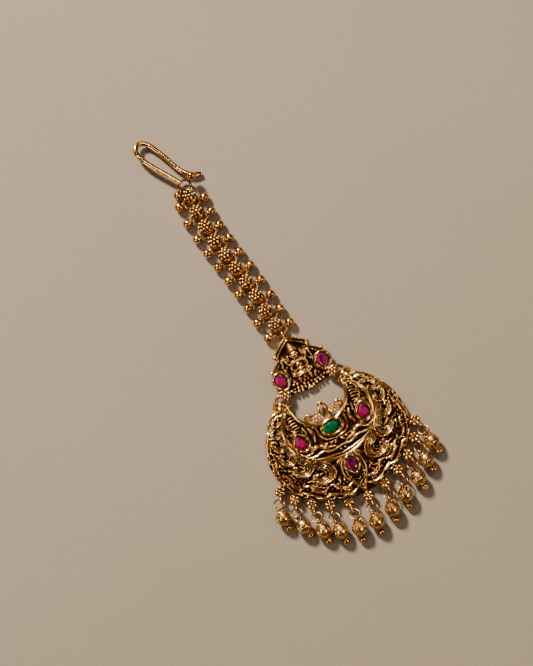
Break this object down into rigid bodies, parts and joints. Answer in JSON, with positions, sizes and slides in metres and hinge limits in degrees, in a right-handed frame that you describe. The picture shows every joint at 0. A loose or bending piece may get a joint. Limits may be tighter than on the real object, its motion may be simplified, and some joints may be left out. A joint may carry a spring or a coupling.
{
  "type": "maang tikka",
  "caption": "Hair jewel lying on its back: hook, beaded chain, crown plate with a seated figure, and a crescent pendant with coloured stones and a fringe of bead drops.",
  "frame": {"origin": "on the pendant's flat back, under the middle of the green stone", "axes": "+Y along the pendant's middle line towards the chain and hook, +Z out of the pendant's front, +X to the right seen from the front"},
  "size_m": [0.0453, 0.1161, 0.0046],
  "materials": {
    "gold": "antique gold plating, polished on the high places and dark in the recesses",
    "ruby": "faceted, clear magenta red",
    "emerald": "faceted, clear green"
  },
  "bodies": {
    "root": {"crescent": "gold", "crown": "gold", "emerald_centre": "emerald", "ruby_leaf": "ruby", "ruby_panel_left": "ruby", "ruby_crown_left": "ruby", "ruby_panel_right": "ruby", "ruby_crown_right": "ruby", "horn_link_left": "gold", "horn_link_right": "gold", "drop_ring_01": "gold", "drop_ring_02": "gold", "drop_ring_03": "gold", "drop_ring_04": "gold", "drop_ring_05": "gold", "drop_ring_06": "gold", "drop_ring_07": "gold", "drop_ring_08": "gold", "drop_ring_09": "gold", "drop_ring_10": "gold", "drop_ring_11": "gold", "drop_bead_01": "gold", "drop_bead_02": "gold", "drop_bead_03": "gold", "drop_bead_04": "gold", "drop_bead_05": "gold", "drop_bead_06": "gold", "drop_bead_07": "gold", "drop_bead_08": "gold", "drop_bead_09": "gold", "drop_bead_10": "gold", "drop_bead_11": "gold", "chain_station_01": "gold", "chain_station_02": "gold", "chain_station_03": "gold", "chain_station_04": "gold", "chain_station_05": "gold", "chain_station_06": "gold", "chain_station_07": "gold", "chain_station_08": "gold", "chain_station_09": "gold", "chain_station_10": "gold", "hook": "gold"}
  },
  "joints": []
}
